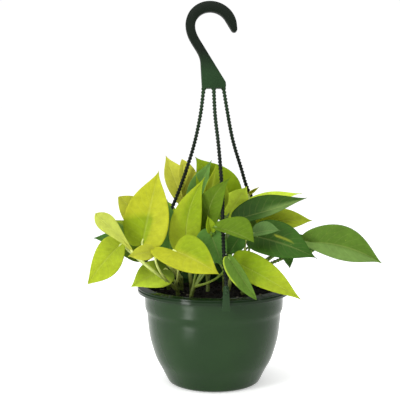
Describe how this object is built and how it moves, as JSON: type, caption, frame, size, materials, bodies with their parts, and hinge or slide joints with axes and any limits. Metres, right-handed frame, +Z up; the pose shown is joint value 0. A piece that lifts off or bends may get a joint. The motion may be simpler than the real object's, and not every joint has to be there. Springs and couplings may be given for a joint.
{
  "type": "potted neon pothos",
  "caption": "Pothos with heart-shaped yellow-green and green leaves in a round plastic hanging basket, with a slack moulded hanger that ends in a flat hook.",
  "frame": {"origin": "centre of the pot's flat base, on the surface that it stands on", "axes": "+Z up along the pot's axis, -Y towards the front of the plant, +X to the viewer's right"},
  "size_m": [0.3782, 0.2501, 0.5081],
  "materials": {
    "pot_plastic": "satin",
    "hanger_plastic": "satin",
    "potting_soil": "matte",
    "neon_leaf": "satin",
    "green_leaf": "satin"
  },
  "bodies": {
    "root": {"pot": "pot_plastic", "soil": "potting_soil", "hanger": "hanger_plastic", "stem_front_left_neon": "neon_leaf", "stem_left_neon": "neon_leaf", "stem_centre_neon": "neon_leaf", "stem_right_neon": "neon_leaf", "stem_right_back_lime": "neon_leaf", "stem_back_left_neon": "neon_leaf", "stem_left_green": "green_leaf", "stem_centre_green": "green_leaf", "stem_front_green": "green_leaf", "stem_right_green": "green_leaf", "stem_upper_right_green": "green_leaf", "stem_back_right_green": "green_leaf"}
  },
  "joints": []
}
